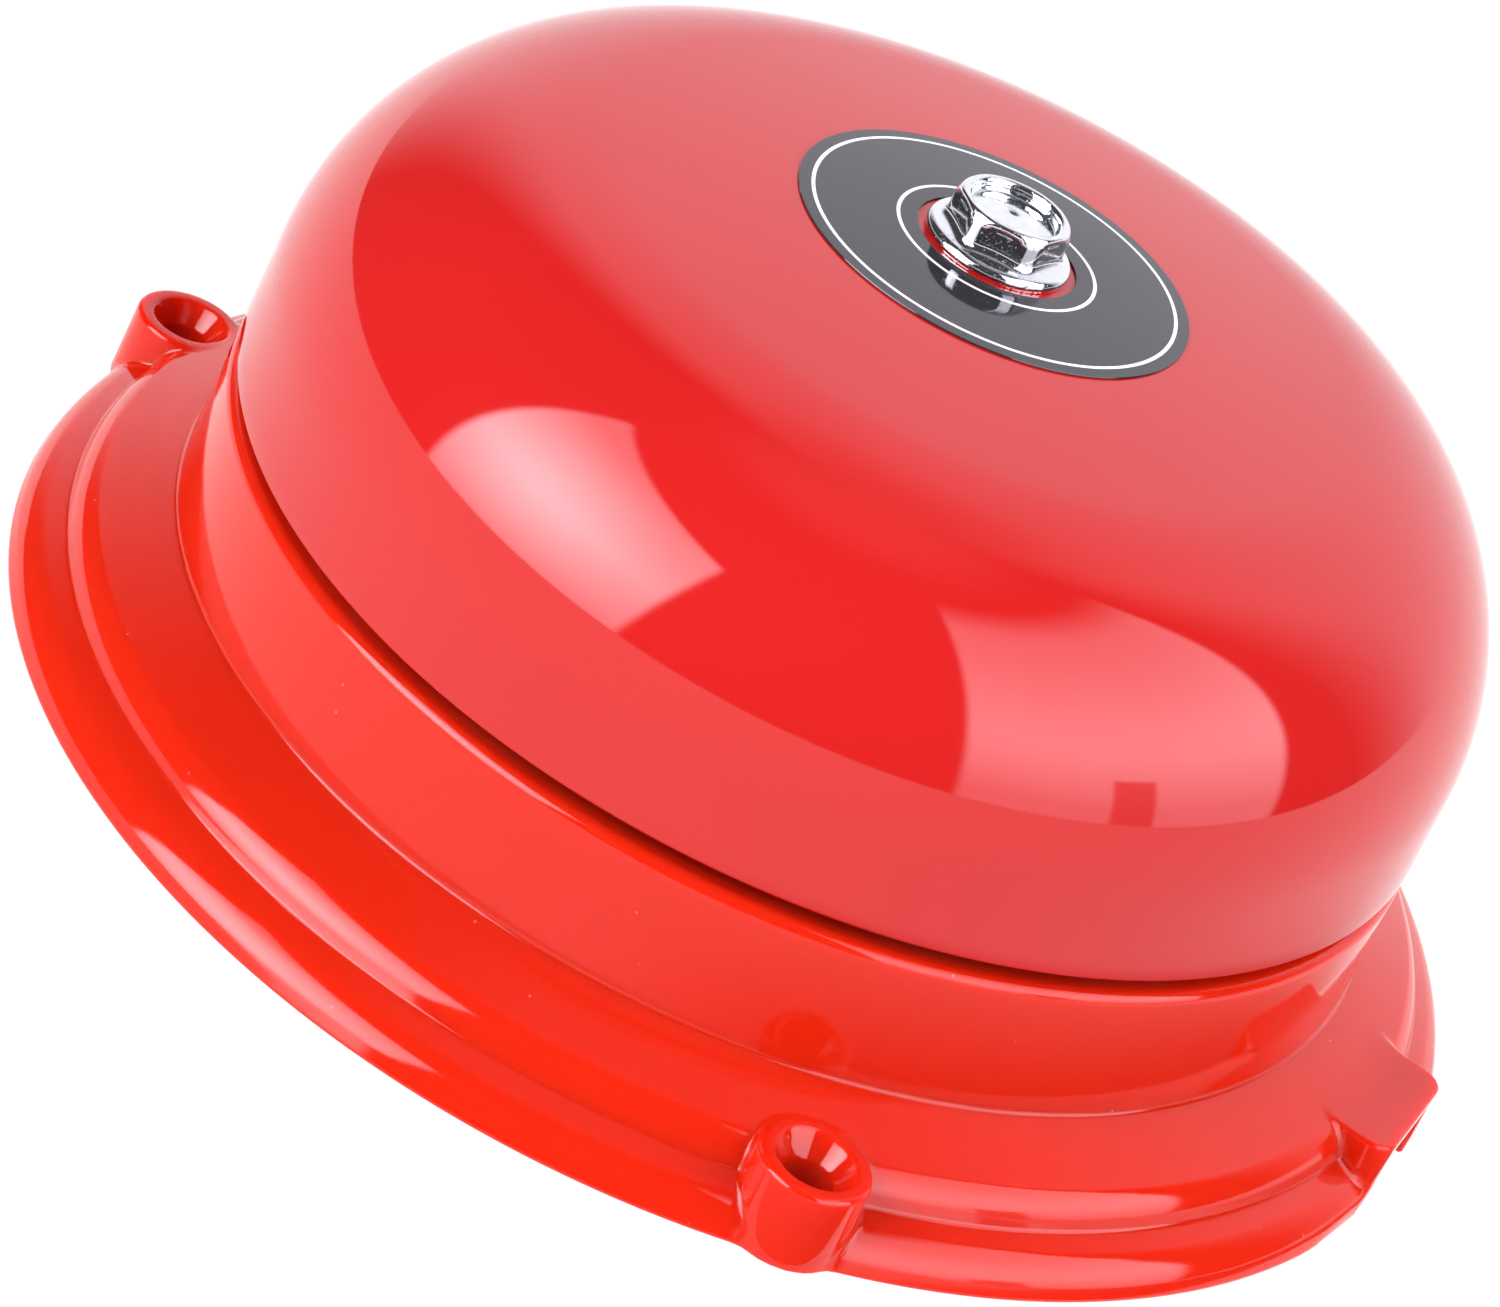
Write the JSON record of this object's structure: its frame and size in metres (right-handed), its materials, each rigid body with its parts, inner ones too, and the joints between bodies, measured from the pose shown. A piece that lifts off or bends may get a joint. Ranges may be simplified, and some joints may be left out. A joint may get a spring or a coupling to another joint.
{
  "type": "fire alarm bell",
  "caption": "Wall-mounted motor fire alarm bell: domed red steel gong bolted over a round red base with screw ears and a cable hood.",
  "frame": {"origin": "centre of the flat back face, on the bell's axis, where the back plate meets the wall", "axes": "+Z along the bell's axis out of the wall towards the gong bolt, -Y towards the cable-entry hood, +X to its right seen from the front"},
  "size_m": [0.1834, 0.184, 0.0811],
  "materials": {
    "red_enamel": "gloss stoved red enamel on pressed steel",
    "red_abs": "gloss injection-moulded red ABS",
    "label_black": "printed black film with two thin silver rings",
    "bright_zinc": "bright zinc plated steel",
    "galvanised": "zinc-coated sheet steel",
    "turned_steel": "turned steel",
    "fibre": "vulcanised fibre",
    "acetal": "natural acetal",
    "ferrite": "sintered ferrite",
    "bronze": "sintered bronze and brass",
    "armature": "lacquered copper winding on a steel core",
    "black_nylon": "black nylon",
    "board_green": "solder-masked glass-epoxy board",
    "terminal_green": "moulded polyamide",
    "film_red": "dipped film capacitor",
    "lead_red": "PVC insulation",
    "lead_black": "PVC insulation"
  },
  "bodies": {
    "housing": {"base": "red_abs", "back_plate": "galvanised", "back_plate_screw_1": "bright_zinc", "back_plate_screw_2": "bright_zinc", "back_plate_screw_3": "bright_zinc", "back_plate_screw_4": "bright_zinc", "gong_post": "turned_steel", "post_screw_1": "bright_zinc", "post_screw_2": "bright_zinc", "post_screw_3": "bright_zinc", "gong_washer": "fibre", "gong": "red_enamel", "gong_label": "label_black", "gong_bolt": "bright_zinc", "motor_can": "galvanised", "motor_end_cap": "black_nylon", "motor_bearing": "bronze", "motor_rear_bush": "bronze", "motor_magnet_1": "ferrite", "motor_magnet_2": "ferrite", "motor_screw_1": "bright_zinc", "motor_screw_2": "bright_zinc", "circuit_board": "board_green", "board_screw_1": "bright_zinc", "board_screw_2": "bright_zinc", "terminal_block": "terminal_green", "terminal_screw_1": "bronze", "terminal_screw_2": "bronze", "suppression_capacitor": "film_red", "protection_diode": "black_nylon", "motor_lead_1": "lead_red", "motor_lead_2": "lead_black"},
    "rotor": {"motor_shaft": "turned_steel", "motor_armature": "armature", "striker_arm": "acetal", "hammer_pin_1": "bright_zinc", "hammer_pin_2": "bright_zinc"},
    "hammer_a": {"hammer_1": "turned_steel"},
    "hammer_b": {"hammer_2": "turned_steel"}
  },
  "joints": [
    {"name": "rotor_spin", "type": "hinge", "parent": "housing", "child": "rotor", "pos_m": [0, 0.05, 0.03], "axis": [0, 0, 1], "continuous": true},
    {"name": "hammer_a_swing", "type": "hinge", "parent": "rotor", "child": "hammer_a", "pos_m": [0.013, 0.05, 0.0389], "axis": [0, 0, 1], "range_deg": [-35, 35]},
    {"name": "hammer_b_swing", "type": "hinge", "parent": "rotor", "child": "hammer_b", "pos_m": [-0.013, 0.05, 0.0389], "axis": [0, 0, 1], "range_deg": [-35, 35]}
  ]
}
